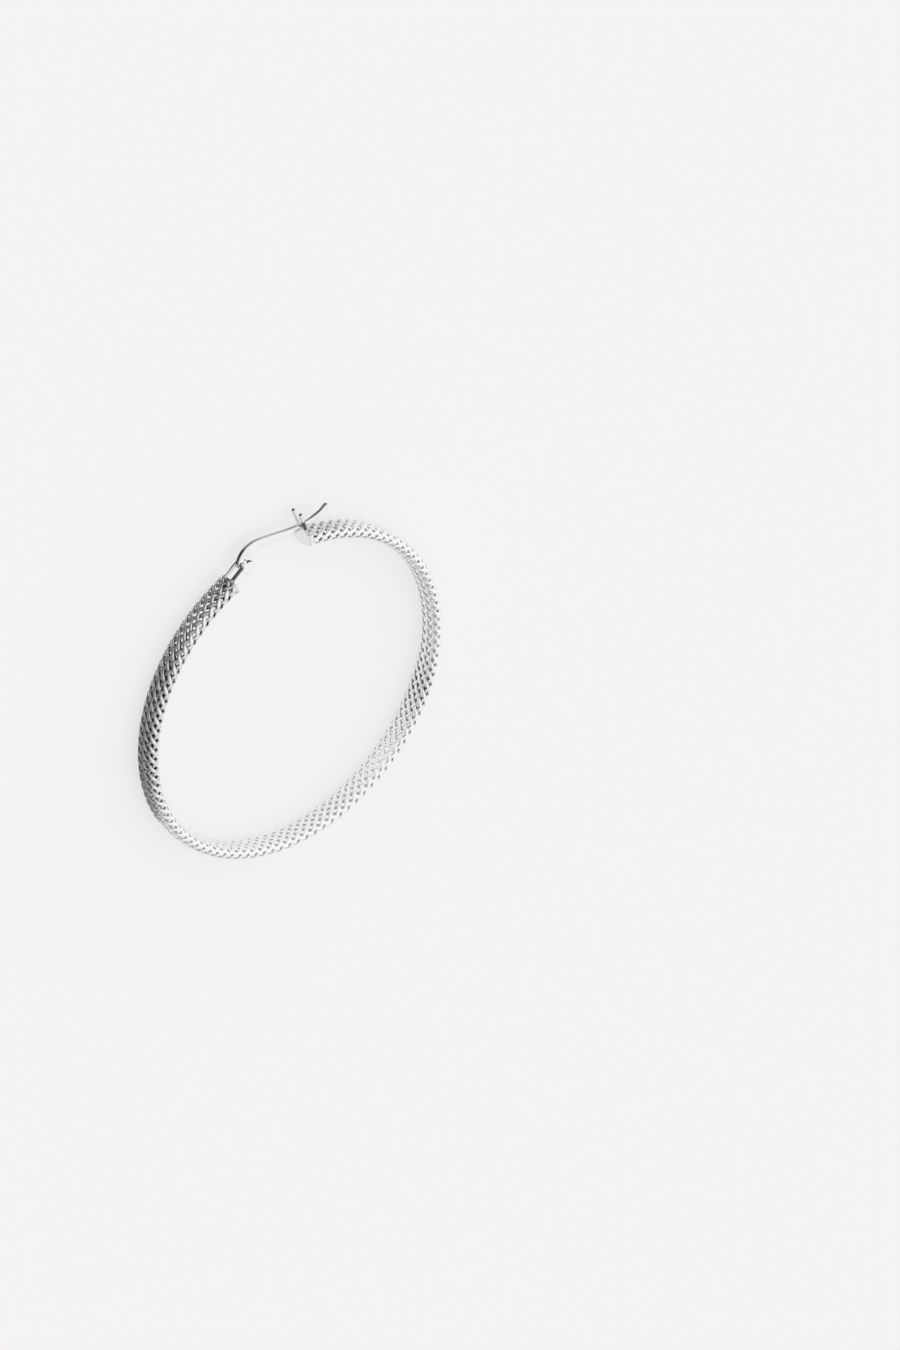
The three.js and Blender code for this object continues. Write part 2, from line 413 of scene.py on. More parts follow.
class Sock:
    """One output of a node, with Python's own arithmetic on values."""

    def __init__(self, graph: "Graph", socket: bpy.types.NodeSocket) -> None:
        """Wraps a socket of a graph."""
        self.graph = graph
        self.socket = socket

    def _maths(self, operation: str, *terms: "Sock | float") -> "Sock":
        """Adds a Math node on some terms."""
        return self.graph.add("Math", {"operation": operation}, dict(enumerate(terms)))

    def __add__(self, other: "Sock | float") -> "Sock":
        """Adds a value."""
        return self._maths("ADD", self, other)

    __radd__ = __add__

    def __sub__(self, other: "Sock | float") -> "Sock":
        """Takes a value away."""
        return self._maths("SUBTRACT", self, other)

    def __rsub__(self, other: float) -> "Sock":
        """Takes this value away from another."""
        return self._maths("SUBTRACT", other, self)

    def __mul__(self, other: "Sock | float") -> "Sock":
        """Multiplies by a value."""
        return self._maths("MULTIPLY", self, other)

    __rmul__ = __mul__


class Graph:
    """The nodes of one material, or of the sky."""

    def __init__(self, owner: bpy.types.Material | bpy.types.World) -> None:
        """Empties the nodes of a material or a world."""
        self.owner = owner
        owner.use_nodes = True
        self.tree = owner.node_tree
        self.tree.nodes.clear()

    def add(self, kind: str, settings: dict[str, object] | None = None,
            sockets: dict[int | str, object] | None = None, out: int | str = 0) -> Sock:
        """Adds a node.

        Args:
            kind: The node's type without its ShaderNode prefix.
            settings: Its properties, and stops for a colour ramp.
            sockets: A value or a Sock for each input that is set.
            out: The output that is wanted.

        Returns:
            That output.
        """
        node = self.tree.nodes.new("ShaderNode" + kind)
        for name, value in (settings or {}).items():
            if name == "stops":
                self._set_stops(node, value)
            else:
                setattr(node, name, value)
        for name, value in (sockets or {}).items():
            if isinstance(value, Sock):
                self.tree.links.new(value.socket, node.inputs[name])
            else:
                node.inputs[name].default_value = value
        return Sock(self, node.outputs[out])

    @staticmethod
    def _set_stops(node: bpy.types.ShaderNode, stops: Sequence[tuple[float, float]]) -> None:
        """Sets a ramp's stops, each a place and a grey."""
        elements = node.color_ramp.elements
        while len(elements) < len(stops):
            elements.new(1)
        for element, (place, grey) in zip(elements, stops):
            element.position = place
            element.color = (grey, grey, grey, 1)

    def finish(self, shader: Sock) -> bpy.types.Material | bpy.types.World:
        """Links the shader to the output and returns the material or the world."""
        kind = "World" if isinstance(self.owner, bpy.types.World) else "Material"
        output = self.tree.nodes.new("ShaderNodeOutput" + kind)
        self.tree.links.new(shader.socket, output.inputs["Surface"])
        return self.owner


def grey(tone: float, warmth: float = 0.0) -> tuple[float, float, float, float]:
    """A grey colour.

    Args:
        tone: Its brightness.
        warmth: How much redder than blue it is.

    Returns:
        The colour with its alpha.
    """
    return (tone + warmth / 2, tone, tone - warmth / 2, 1)


@dataclass(frozen=True)
class PolishedSilver:
    """Bright silver wire and plate with fine polishing marks, a soft ripple and some dark spots of painted
    shade.

    Each spot of painted shade is given by its middle and its reach, and is fully dark over the core share of
    that reach.
    """

    name: str = "polished silver"
    bright: float = 0.93
    dull: float = 0.8
    warmth: float = 0.01
    roughness: float = 0.16
    roughness_spread: float = 0.1
    grain: float = 5200.0
    marks: tuple[float, float, float] = (1.0, 0.2, 1.0)
    ripple: float = 900.0
    relief: float = 0.004 * MM
    relief_strength: float = 0.4
    grain_relief: float = 0.3
    # Painted shade: the dark tone of the spots that stand for shade, and their fully dark core.
    shade_tone: float = 0.12
    shade_core: float = 0.6
    painted_shades: tuple[tuple[Vector, float], ...] = ()

    def _paint_shade(self, graph: Graph, place: Sock, colour: Sock) -> Sock:
        """Paints shade into the colour in some spots.

        Args:
            graph: The finish's graph.
            place: The object coordinates.
            colour: The colour without the painted shade.

        Returns:
            The colour with the painted shade.
        """
        # Painted shade: each spot darkens the metal where it lies in shade.
        dark = grey(self.shade_tone, self.warmth)
        for spot, reach in self.painted_shades:
            away = graph.add("VectorMath", {"operation": "DISTANCE"}, {0: place, 1: spot}, "Value")
            share = graph.add("MapRange", {"interpolation_type": "SMOOTHSTEP"}, {
                "Value": away, "From Min": self.shade_core * reach, "From Max": reach,
                "To Min": 1.0, "To Max": 0.0})
            colour = graph.add("Mix", {"data_type": "RGBA"}, {0: share, 6: colour, 7: dark}, out=2)
        return colour

    def material(self) -> bpy.types.Material:
        """Builds the finish's nodes and returns its material."""
        graph = Graph(bpy.data.materials.new(self.name))
        place = graph.add("TexCoord", out="Object")
        cloud = graph.add("TexNoise", sockets={"Vector": place, "Scale": self.ripple, "Detail": 3.0})
        marks = graph.add("Mapping", sockets={"Vector": place, "Scale": self.marks})
        grain = graph.add("TexNoise", sockets={"Vector": marks, "Scale": self.grain, "Detail": 4.0})
        bright, dull = grey(self.bright, self.warmth), grey(self.dull, self.warmth)
        colour = graph.add("Mix", {"data_type": "RGBA"}, {0: cloud, 6: bright, 7: dull}, out=2)
        colour = self._paint_shade(graph, place, colour)
        roughness = self.roughness + self.roughness_spread * grain
        bump = graph.add("Bump", sockets={
            "Height": cloud + self.grain_relief * grain, "Distance": self.relief,
            "Strength": self.relief_strength})
        return graph.finish(graph.add("BsdfPrincipled", sockets={
            "Base Color": colour, "Metallic": 1.0, "Roughness": roughness, "Normal": bump}))


@dataclass(frozen=True)
class KnittedSilver:
    """Silver strands, bright on their crowns, with painted shade in the hollows that varies round the hoop.

    The painted shade's stops are an angle from X, in degrees, and its depth there. Between the two heights
    of the shade's edge the hollow's tone gives way to the crown's.
    """

    centre: Vector
    name: str = "knitted silver"
    warmth: float = 0.01
    crown: float = 0.95
    # Painted shade: a lit and a shaded tone of the hollows, mixed round the hoop by angle.
    lit_hollow: float = 0.92
    shaded_hollow: float = 0.13
    hollow_shade_creep: float = 0.2
    # Depth of the painted shade in the hollows at each angle round the hoop, deepest where the hoop lies in
    # shade.
    hollow_shade: tuple[tuple[float, float], ...] = (
        (-170, 0.6), (-158, 0.0), (-62, 0.0), (-45, 0.3), (-32, 0.8), (-18, 0.0), (35, 0.0), (60, 0.4),
        (76, 0.65), (104, 1.0), (180, 0.95),
    )
    shade_heights: tuple[float, float] = (0.25, 0.75)
    uneven_shade_edge: float = 0.12
    roughness: float = 0.22
    roughness_spread: float = 0.14
    grain: float = 4200.0
    relief: float = 0.006 * MM
    relief_strength: float = 0.5

    def material(self) -> bpy.types.Material:
        """Builds the finish's nodes and returns its material."""
        graph = Graph(bpy.data.materials.new(self.name))
        place = graph.add("TexCoord", out="Object")
        crown = graph.add("Attribute", {"attribute_name": WovenTube.crown_name}, out="Fac")
        grain = graph.add("TexNoise", sockets={"Vector": place, "Scale": self.grain, "Detail": 3.0})
        way = graph.add("VectorMath", {"operation": "SUBTRACT"}, {0: place, 1: self.centre})
        across = graph.add("SeparateXYZ", sockets={"Vector": way}, out="X")
        outwards = graph.add("SeparateXYZ", sockets={"Vector": way}, out="Y")
        angle = graph.add("Math", {"operation": "ARCTAN2"}, {0: outwards, 1: across})
        turn = graph.add("MapRange", sockets={"Value": angle, "From Min": -math.pi, "From Max": math.pi})
        # Painted shade: the hollows darken by angle round the hoop (clean is their lit tone, dark their
        # shaded tone), and the shade creeps onto the crowns where it is deep.
        stops = [(0.5 + degrees / 360, depth) for degrees, depth in self.hollow_shade]
        hollow_shade = graph.add("ValToRGB", {"stops": stops}, {"Fac": turn})
        clean, dark = grey(self.lit_hollow, self.warmth), grey(self.shaded_hollow, self.warmth)
        hollow = graph.add("Mix", {"data_type": "RGBA"}, {0: hollow_shade, 6: clean, 7: dark}, out=2)
        height = crown + self.uneven_shade_edge * grain - self.hollow_shade_creep * hollow_shade
        crown_share = graph.add("ValToRGB", {"stops": list(zip(self.shade_heights, (0.0, 1.0)))}, {"Fac": height})
        bright = grey(self.crown, self.warmth)
        colour = graph.add("Mix", {"data_type": "RGBA"}, {0: crown_share, 6: hollow, 7: bright}, out=2)
        roughness = self.roughness + self.roughness_spread * (1 - crown * grain)
        bump = graph.add("Bump", sockets={
            "Height": grain, "Distance": self.relief, "Strength": self.relief_strength})
        return graph.finish(graph.add("BsdfPrincipled", sockets={
            "Base Color": colour, "Metallic": 1.0, "Roughness": roughness, "Normal": bump}))


@dataclass(frozen=True)
class PaleFloor:
    """A matt pale studio floor that is lit a little from below, as a light table is."""

    tone: float = 0.32
    glow: float = 0.62

    def material(self) -> bpy.types.Material:
        """Builds the finish's nodes and returns its material."""
        graph = Graph(bpy.data.materials.new("pale floor"))
        return graph.finish(graph.add("BsdfPrincipled", sockets={
            "Base Color": grey(self.tone), "Roughness": 1.0, "Specular IOR Level": 0.0,
            "Emission Color": grey(1), "Emission Strength": self.glow}))


@dataclass(frozen=True)
class StudioCard:
    """A matt card that lies beside a stretch of the hoop and glows with its own tones, which only the
    metal's reflections show.

    Its radii are from the hoop's axis and its two angles, in degrees, from X. Each of its tones is a place
    along X and the grey of its glow there.
    """

    name: str
    inner: float
    outer: float
    start: float
    end: float
    tones: tuple[tuple[float, float], ...]
    half_span: float = 20 * MM
    rise: float = 0.03 * MM
    sides: int = 120

    def material(self) -> bpy.types.Material:
        """Builds the finish's nodes and returns its material."""
        graph = Graph(bpy.data.materials.new("studio card"))
        place = graph.add("SeparateXYZ", sockets={"Vector": graph.add("TexCoord", out="Object")}, out="X")
        share = graph.add("MapRange", sockets={
            "Value": place, "From Min": -self.half_span, "From Max": self.half_span})
        stops = [(0.5 + x / (2 * self.half_span), tone) for x, tone in self.tones]
        tone = graph.add("ValToRGB", {"stops": stops}, {"Fac": share})
        return graph.finish(graph.add("BsdfPrincipled", sockets={
            "Base Color": grey(0), "Roughness": 1.0, "Specular IOR Level": 0.0,
            "Emission Color": tone, "Emission Strength": 1.0}))

    def lay(self, centre: Vector) -> None:
        """Lays the card on the floor.

        Args:
            centre: The hoop's middle.
        """
        middle = Vector((centre.x, centre.y, self.rise))
        size = (2 * self.outer, 2 * self.outer)
        card = Bench.ring(self.name, self.sides, size, middle, Vector((0, 0, 1)), Vector((1, 0, 0)))
        with Bench.shaping(card):
            Bench.extrude(Vector())
            Bench.swell(self.inner / self.outer, middle)
            Bench.pick(card, lambda face: not self._spans(face.calc_center_median() - centre))
            bpy.ops.mesh.delete(type="FACE")
        card.data.materials.append(self.material())
        card.visible_camera = card.visible_diffuse = card.visible_shadow = card.visible_transmission = False

    def _spans(self, way: Vector) -> bool:
        """Says of a way from the hoop's middle whether it lies between the card's two angles."""
        return self.start < math.degrees(math.atan2(way.y, way.x)) % 360 < self.end


class SubAssembly:
    """A part of the earring that builds, dresses and reports one piece."""

    def build(self) -> bpy.types.Object:
        """Models the piece in its place."""
        raise NotImplementedError

    def dress(self, piece: bpy.types.Object, finish: bpy.types.Material, body: Body, slot: Slot,
              node: str) -> None:
        """Gives the piece its finish, sets it on the body that it rides on and hides the construction's node
        that it stands for.

        Args:
            piece: The finished piece.
            finish: Its material.
            body: The body that it rides on.
            slot: The material slot that it takes its finish from; not used.
            node: The construction's node that it stands for.
        """
        piece.data.materials.clear()
        piece.data.materials.append(finish)
        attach(piece, body.value)
        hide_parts(node)
        LOG.info("%s: %d faces on %s", piece.name, len(piece.data.polygons), body.value)


@dataclass
class WovenTube(SubAssembly):
    """The flattened tube of silver strands that cross over and under each other.

    The strands of one direction ride a little higher, by lead, and look longer for it.
    """

    plan: HoopPlan
    links_along: int = 94
    links_round: int = 7
    strand_width: float = 0.5 * MM
    strand_depth: float = 0.24 * MM
    wave: float = 0.1 * MM
    lead: float = 0.04 * MM
    crown_power: float = 0.6
    rim_calm: float = 0.4
    sides: int = 8
    steps: int = 4
    smooth_up_to: float = 60
    crown_name = "crown"

    def __post_init__(self) -> None:
        """Works out the cloth's sizes from the plan's."""
        plan = self.plan
        self.reach = self.wave + self.strand_depth / 2
        self.section = FlatSection(
            plan.half_thickness - self.reach, plan.half_width - self.reach, rim_calm=self.rim_calm)
        setback = plan.cap_plate / plan.mid_radius
        self.start = plan.hinge_face + setback
        self.length = (plan.catch_face + 2 * math.pi - setback - self.start) * plan.mid_radius
        self.pitch = Vector((self.length / self.links_along, self.section.girth / self.links_round, 0))

    def _link(self) -> bpy.types.Object:
        """Models one strand from a crown down under its neighbour and up to the next crown."""
        crown = Vector((0, 0, self.wave))
        across = self.pitch.cross(Vector((0, 0, 1)))
        size = (self.strand_width, self.strand_depth)
        swing = self.wave - self.lead
        link = Bench.ring("strand", self.sides, size, crown, self.pitch, across)
        with Bench.shaping(link):
            last = crown
            for k in range(1, 2 * self.steps + 1):
                place = self.pitch * (k / (2 * self.steps))
                level = math.cos(math.pi * k / self.steps)
                place.z = self.lead + swing * math.copysign(abs(level) ** self.crown_power, level)
                Bench.extrude(place - last)
                last = place
        return link

    def _crossing(self, link: bpy.types.Object) -> bpy.types.Object:
        """Copies the strand and turns it over, so that it runs the other way and starts underneath."""
        Bench.take(link)
        bpy.ops.object.duplicate()
        crossing = bpy.context.object
        crossing.matrix_world = Matrix.Translation((0, self.pitch.y, 0)) @ Matrix.Rotation(math.pi, 4, "X")
        bpy.ops.object.transform_apply(location=True, rotation=True, scale=True)
        return crossing

    def _wrap(self, cloth: bpy.types.Object) -> None:
        """Lays the flat cloth round the section and along the hoop.

        Args:
            cloth: The flat cloth, whose heights are kept as an attribute.
        """
        mesh = cloth.data
        flat = np.empty(len(mesh.vertices) * 3, np.float32)
        mesh.vertices.foreach_get("co", flat)
        along, way, height = flat.reshape(-1, 3).T
        crown = mesh.attributes.new(self.crown_name, "FLOAT", "POINT")
        crown.data.foreach_set("value", (0.5 + height / (2 * self.reach)).astype(np.float32))
        outwards, axial = self.section.lay(way, height)
        angle = self.start + along / self.plan.mid_radius
        radius = self.plan.mid_radius + outwards
        centre = self.plan.centre
        round_hoop = [radius * np.cos(angle) + centre.x, radius * np.sin(angle) + centre.y, axial + centre.z]
        mesh.vertices.foreach_set("co", np.stack(round_hoop, 1).astype(np.float32).ravel())
        mesh.update()

    def build(self) -> bpy.types.Object:
        """Models one crossing, repeats it over the cloth and wraps the cloth into the tube."""
        link = self._link()
        cloth = Bench.join([link, self._crossing(link)], "woven_tube")
        rows = (self.links_along, (self.pitch.x, 0, 0))
        turns = (self.links_round, (0, self.pitch.y, 0))
        for count, step in (rows, turns):
            Bench.modify(cloth, "ARRAY", count=count, use_relative_offset=False, use_constant_offset=True,
                         constant_offset_displace=step)
        self._wrap(cloth)
        Bench.close(cloth)
        Bench.smooth(cloth, self.smooth_up_to)
        return cloth


@dataclass
class EndCap(SubAssembly):
    """A cap on the tube's end, in its own axes, with the wire that is soldered to it.

    Each of its spots is a dark spot of painted shade, given by its place in those axes and its reach.
    """

    plan: HoopPlan
    end: End
    name: str
    sides: int = 64
    edge_round: float = 0.09 * MM
    edge_segments: int = 4
    face_on: float = 0.99
    crown_inset: float = 0.3 * MM
    crown_rise: float = 0.05 * MM
    lip_inset: float = 0.2 * MM
    lip_length: float = 0.22 * MM
    plug_inset: float = 0.62 * MM
    plug_length: float = 1.3 * MM
    # Spots of painted shade on the cap and its wire, where they lie in shade.
    spots: tuple[tuple[tuple[float, float, float], float], ...] = ()

    @property
    def painted_shades(self) -> tuple[tuple[Vector, float], ...]:
        """The places in the frame of the spots of painted shade, each with its reach."""
        place = self.plan.end_place(self.end)
        return tuple((place @ Vector(spot), reach) for spot, reach in self.spots)

    def _plate(self) -> bpy.types.Object:
        """Models the plate with its rounded rim, its slight crown and the plug behind it."""
        plan = self.plan
        size = (2 * plan.half_thickness, 2 * plan.half_width)
        plate = Bench.ring(self.name, self.sides, size, Vector(), Vector((0, 0, 1)), Vector((1, 0, 0)))
        outline = FlatSection(plan.half_thickness, plan.half_width)
        turns = np.arange(self.sides) * 2 * math.pi / self.sides
        for vertex, outwards, along in zip(plate.data.vertices, *outline.outline(turns)):
            vertex.co = (outwards, along, 0)
        with Bench.shaping(plate):
            bpy.ops.mesh.edge_face_add()
            Bench.extrude(Vector((0, 0, -plan.cap_plate)))
            bpy.ops.mesh.select_all(action="SELECT")
            bpy.ops.mesh.normals_make_consistent(inside=False)
            Bench.pick(plate, lambda face: abs(face.normal.z) > self.face_on)
            bpy.ops.mesh.region_to_loop()
            bpy.ops.mesh.bevel(offset=self.edge_round, segments=self.edge_segments, affect="EDGES")
            Bench.pick(plate, lambda face: face.normal.z > self.face_on)
            bpy.ops.mesh.inset(thickness=self.crown_inset, depth=self.crown_rise)
            Bench.pick(plate, lambda face: face.normal.z < -self.face_on)
            bpy.ops.mesh.inset(thickness=self.lip_inset - self.edge_round)
            Bench.extrude(Vector((0, 0, -self.lip_length)))
            bpy.ops.mesh.inset(thickness=self.plug_inset - self.lip_inset)
            Bench.extrude(Vector((0, 0, self.lip_length - self.plug_length)))
        return plate

    def _fittings(self) -> bpy.types.Object:
        """Models the wire that is soldered to the plate."""
        raise NotImplementedError

    def build(self) -> bpy.types.Object:
        """Models the plate and its wire as one solid and puts it on the tube's end."""
        plate = self._plate()
        Bench.weld(plate, self._fittings())
        plate.data.transform(self.plan.end_place(self.end))
        Bench.smooth(plate)
        Bench.flat_faces(plate)
        return plate


@dataclass
class HingeCap(EndCap):
    """The cap with the staple, a U of round wire whose crossbar is the hinge pin."""

    wire: float = 0.48 * MM
    foot_rise: float = 0.86 * MM
    leg_offset: float = 0.65 * MM
    bend_radius: float = 0.3 * MM
    solder_height: float = 0.22 * MM
    solder_spread: float = 1.55
    solder_waist: float = 1.12
    # Painted shade over the staple's near leg.
    spots: tuple[tuple[tuple[float, float, float], float], ...] = (
        ((1.15 * MM, 1 * MM, 1.1 * MM), 1.5 * MM),
    )

    def _fittings(self) -> bpy.types.Object:
        """Models the staple from one foot to the other, with solder round both feet."""
        foot = Vector((self.foot_rise, 0, 0))
        reach = Vector((self.plan.pin_rise, 0, self.plan.pin_reach)) - foot
        sideways = Vector((0, 1, 0))
        heading = reach.normalized()
        root = self.plan.cap_plate / 2
        half_solder = self.solder_height / 2
        straight = reach.length - self.bend_radius - self.solder_height
        crossbar = 2 * (self.leg_offset - self.bend_radius)
        staple = Wire("staple", self.wire, foot - sideways * self.leg_offset - heading * root, heading)
        Bench.swell(self.solder_spread, staple.place)
        staple.forward(root)
        staple.forward(half_solder, self.solder_waist / self.solder_spread)
        staple.forward(half_solder, 1 / self.solder_waist)
        staple.forward(straight).bend(math.pi / 2, self.bend_radius, sideways).forward(crossbar)
        staple.bend(math.pi / 2, self.bend_radius, -heading).forward(straight)
        staple.forward(half_solder, self.solder_waist)
        staple.forward(half_solder, self.solder_spread / self.solder_waist)
        staple.forward(root)
        return staple.finish()


@dataclass
class CatchCap(EndCap):
    """The cap with the catch, a fork of round wire across its outer edge."""

    wire: float = 0.5 * MM
    lean: float = math.radians(22.5)
    foot_rise: float = 1.15 * MM
    foot_setback: float = 0.11 * MM
    leg_offset: float = 0.68 * MM
    bend_radius: float = 0.34 * MM
    tip_rise: float = 4.35 * MM
    flare: float = 0.08 * MM
    # Painted shade on the fork: a spot on one leg and one on each rounded tip.
    spots: tuple[tuple[tuple[float, float, float], float], ...] = (
        ((2.3 * MM, -0.9 * MM, 0.42 * MM), 1 * MM),
        ((4.3 * MM, -0.76 * MM, 1.19 * MM), 0.28 * MM),
        ((4.3 * MM, 0.76 * MM, 1.19 * MM), 0.28 * MM),
    )

    def _fittings(self) -> bpy.types.Object:
        """Models the fork from one rounded tip to the other."""
        heading = Vector((math.cos(self.lean), 0, math.sin(self.lean)))
        sideways = Vector((0, 1, 0))
        foot = Vector((self.foot_rise, 0, -self.foot_setback))
        length = (self.tip_rise - self.foot_rise) / math.cos(self.lean)
        straight = length - self.bend_radius - self.wire / 2
        crossbar = 2 * (self.leg_offset - self.bend_radius)
        start = foot + heading * length - sideways * self.leg_offset
        fork = Wire("fork", self.wire, start, -heading)
        fork.dome(opening=True).forward(straight)
        fork.bend(math.pi / 2, self.bend_radius, sideways).forward(crossbar)
        fork.bend(math.pi / 2, self.bend_radius, heading).forward(straight).dome(opening=False)
        piece = fork.finish()
        for vertex in piece.data.vertices:
            rise = max((vertex.co - foot).dot(heading) / length, 0)
            vertex.co += sideways * math.copysign(self.flare, vertex.co.y) * rise
        return piece


class Outline:
    """A closed flat outline, drawn as arcs and curves."""

    def __init__(self) -> None:
        """Starts an empty outline."""
        self.points: list[Vector] = []

    def arc(self, centre: Vector | tuple[float, float], radius: float, start: float, end: float,
            steps: int = 14) -> None:
        """Draws a round stretch.

        Args:
            centre: The round's middle.
            radius: Its radius.
            start: The angle that it starts at, in radians.
            end: The angle that it ends at.
            steps: How many straight steps it has.
        """
        middle = Vector(centre)
        for k in range(steps + 1):
            angle = start + (end - start) * k / steps
            self.points.append(middle + radius * Vector((math.cos(angle), math.sin(angle))))

    def through(self, stations: Sequence[Vector | tuple[float, float]], steps: int = 8) -> None:
        """Draws a smooth curve through some points.

        Args:
            stations: The points.
            steps: How many straight steps there are between two of them.
        """
        spots = [Vector(place) for place in [self.points[-1], *stations]]
        for k in range(len(spots) - 1):
            before, first = spots[max(k - 1, 0)], spots[k]
            second, after = spots[k + 1], spots[min(k + 2, len(spots) - 1)]
            for step in range(1, steps + 1):
                share = step / steps
                bent = (second - before) * share + (2 * before - 5 * first + 4 * second - after) * share**2
                bent += (3 * first - before - 3 * second + after) * share**3
                self.points.append(first + bent / 2)

    def bow(self, handle: tuple[float, float], other: tuple[float, float], end: tuple[float, float],
            steps: int = 16) -> None:
        """Draws a curve that is pulled by two handles.

        Args:
            handle: The first handle.
            other: The second handle.
            end: Where the curve ends.
            steps: How many straight steps it has.
        """
        first, second, third, last = self.points[-1], Vector(handle), Vector(other), Vector(end)
        for k in range(1, steps + 1):
            share = k / steps
            rest = 1 - share
            place = first * rest**3 + second * 3 * rest**2 * share + third * 3 * rest * share**2
            self.points.append(place + last * share**3)

    def spaced(self, least: float) -> list[Vector]:
        """The outline's points without those that nearly fall together.

        Args:
            least: The least distance between two neighbours.

        Returns:
            The points that are kept.
        """
        kept = [self.points[0]]
        for point in self.points[1:]:
            if (point - kept[-1]).length > least and (point - kept[0]).length > least:
                kept.append(point)
        return kept


@dataclass
class EarWire(SubAssembly):
    """The flat strip that turns on the staple, passes through the lobe and snaps into the fork.

    Its spots of painted shade lie along the thumb piece's top edge, each given by its way from the pin.
    """

    plan: HoopPlan
    catch: CatchCap
    thickness: float = 0.62 * MM
    edge_round: float = 0.14 * MM
    edge_segments: int = 3
    eye_bore: float = 0.34 * MM
    bore_steps: int = 32
    eye_radius: float = 0.64 * MM
    catch_rise: float = 1.9 * MM
    bridge_rise: float = 2.25 * MM
    bridge_height: float = 1.3 * MM
    post_overhang: float = 4.2 * MM
    post_height: float = 0.76 * MM
    tip_slope: float = math.radians(20)
    heel_radius: float = 0.9 * MM
    heel_length: float = 0.17 * MM
    heel_side: float = 1.1 * MM
    heel_drop: float = 1.2 * MM
    heel_start: float = math.radians(110)
    heel_steps: int = 28
    notch_radius: float = 0.4 * MM
    notch_place: tuple[float, float] = (0.93 * MM, 0.52 * MM)
    neck_angle: float = math.radians(150)
    least_spacing: float = 0.02 * MM
    smooth_up_to: float = 35
    # Painted shade along the thumb piece's top edge, where it lies in shade.
    spot_reach: float = 0.36 * MM
    spots: tuple[tuple[float, float, float], ...] = (
        (0.95 * MM, -0.27 * MM, -0.05 * MM), (1.2 * MM, -0.24 * MM, -0.05 * MM),
        (1.45 * MM, -0.3 * MM, -0.05 * MM), (1.7 * MM, -0.45 * MM, -0.05 * MM),
        (1.92 * MM, -0.72 * MM, -0.05 * MM),
    )
    # Share of the way to the catch, share of bridge_rise, and share of the growth from post to bridge height
    bridge_stations = (
        (0.16, 0.97, 1), (0.24, 1, 1), (0.35, 0.92, 1), (0.53, 0.7, 0.85),
        (0.67, 0.5, 0.6), (0.87, 0.25, 0.15), (1, 0.165, 0),
    )
    # Share of post_overhang and share of bridge_rise
    post_stations = ((0.27, 0.145), (0.5, 0.165), (0.75, 0.245))
    # Shares of bridge_rise
    tip_rise = 0.27
    neck_pull = (0.1, 0.36)
    shoulder_pull = (-0.46, -0.04)

    @property
    def painted_shades(self) -> tuple[tuple[Vector, float], ...]:
        """The places in the frame of the spots of painted shade, each with its reach."""
        return tuple((self.plan.pin + Vector(spot), self.spot_reach) for spot in self.spots)

    def _outline(self, span: float) -> list[Vector]:
        """Draws the strip's outline.

        Args:
            span: The way from the pin to the catch.

        Returns:
            The outline's points, with the pin at the origin and the catch on +X.
        """
        rise = self.bridge_rise
        growth = self.bridge_height - self.post_height
        top = [(along * span, share * rise) for along, share, _ in self.bridge_stations]
        heights = [self.post_height + growth * share for _, _, share in self.bridge_stations]
        for along, share in self.post_stations:
            top.append((span + along * self.post_overhang, share * rise))
            heights.append(self.post_height)
        under = [(x, y - height) for (x, y), height in zip(top, heights)]
        tip = Vector((span + self.post_overhang, self.tip_rise * rise))
        tip_side = self.post_height / 2 * Vector((-math.sin(self.tip_slope), math.cos(self.tip_slope)))
        top.append(tip + tip_side)
        shoulder = Vector(top[0])
        neck = self.eye_radius * Vector((math.cos(self.neck_angle), math.sin(self.neck_angle)))
        outline = Outline()
        outline.points.append(neck)
        pull, other = rise * Vector(self.neck_pull), rise * Vector(self.shoulder_pull)
        outline.bow(neck + pull, shoulder + other, shoulder)
        outline.through(top[1:])
        quarter = math.pi / 2
        outline.arc(tip, self.post_height / 2, self.tip_slope + quarter, self.tip_slope - quarter)
        outline.through(under[::-1])
        outline.arc(self.notch_place, self.notch_radius, quarter, 3 * quarter)
        heel_top = (self.heel_side, -self.heel_drop)
        heel_bottom = (self.heel_side, -self.heel_drop - self.heel_length)
        outline.arc(heel_top, self.heel_radius, self.heel_start, 0)
        reach = math.hypot(*heel_bottom)
        slant = math.atan2(-heel_bottom[1], -heel_bottom[0])
        flank = slant + math.acos((self.heel_radius - self.eye_radius) / reach)
        outline.arc(heel_bottom, self.heel_radius, 0, flank - 2 * math.pi, self.heel_steps)
        outline.arc((0, 0), self.eye_radius, flank, self.neck_angle)
        return outline.spaced(self.least_spacing)

    def build(self) -> bpy.types.Object:
        """Cuts the strip from its outline, rounds its edges and lays it from the pin to the catch."""
        lift = (self.catch_rise - self.catch.foot_rise) * math.tan(self.catch.lean) - self.catch.foot_setback
        target = self.plan.end_place(End.CATCH) @ Vector((self.catch_rise, 0, lift))
        line = target - self.plan.pin
        bore = Outline()
        bore.arc((0, 0), self.eye_bore, 0, -2 * math.pi, self.bore_steps)
        bpy.ops.object.select_all(action="DESELECT")
        bpy.ops.curve.primitive_bezier_curve_add()
        strip = bpy.context.object
        shape = strip.data
        shape.splines.clear()
        for points in (self._outline(line.length), bore.points[:-1]):
            spline = shape.splines.new("POLY")
            spline.points.add(len(points) - 1)
            spline.points.foreach_set("co", [value for point in points for value in (*point, 0, 1)])
            spline.use_cyclic_u = True
        shape.dimensions = "2D"
        shape.fill_mode = "BOTH"
        shape.extrude = self.thickness / 2 - self.edge_round
        shape.bevel_depth = self.edge_round
        shape.bevel_resolution = self.edge_segments
        shape.offset = -self.edge_round
        bpy.ops.object.convert(target="MESH")
        strip = bpy.context.object
        strip.name = "ear_wire_strip"
        Bench.close(strip)
        turn = Matrix.Rotation(math.atan2(line.y, line.x), 4, "Z")
        strip.data.transform(Matrix.Translation(self.plan.pin) @ turn)
        Bench.smooth(strip, self.smooth_up_to)
        Bench.flat_faces(strip)
        return strip


